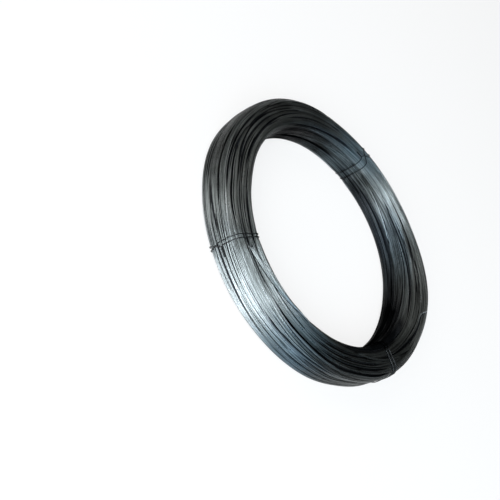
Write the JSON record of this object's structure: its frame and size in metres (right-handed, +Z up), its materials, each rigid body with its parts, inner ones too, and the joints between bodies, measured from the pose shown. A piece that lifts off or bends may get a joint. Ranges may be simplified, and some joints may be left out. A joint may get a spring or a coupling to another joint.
{
  "type": "coil of binding wire",
  "caption": "Flat-lying ring-shaped coil of fine annealed steel binding wire with an open eye, held by doubled tie wires twisted at their ends.",
  "frame": {"origin": "centre of the coil's eye, at the level of its underside, where the lowest turns rest on the floor", "axes": "+Z up, along the eye's axis, away from the underside; X and Y across the coil, with no tie on either axis"},
  "size_m": [0.5199, 0.52, 0.0678],
  "materials": {
    "coil_wire": "drawn wire, dark annealed, satin with a light film of oil",
    "tie_wire": "drawn wire, dark annealed, dull"
  },
  "bodies": {
    "root": {"wire_coil": "coil_wire", "tie_1": "tie_wire", "tie_2": "tie_wire", "tie_3": "tie_wire"}
  },
  "joints": []
}
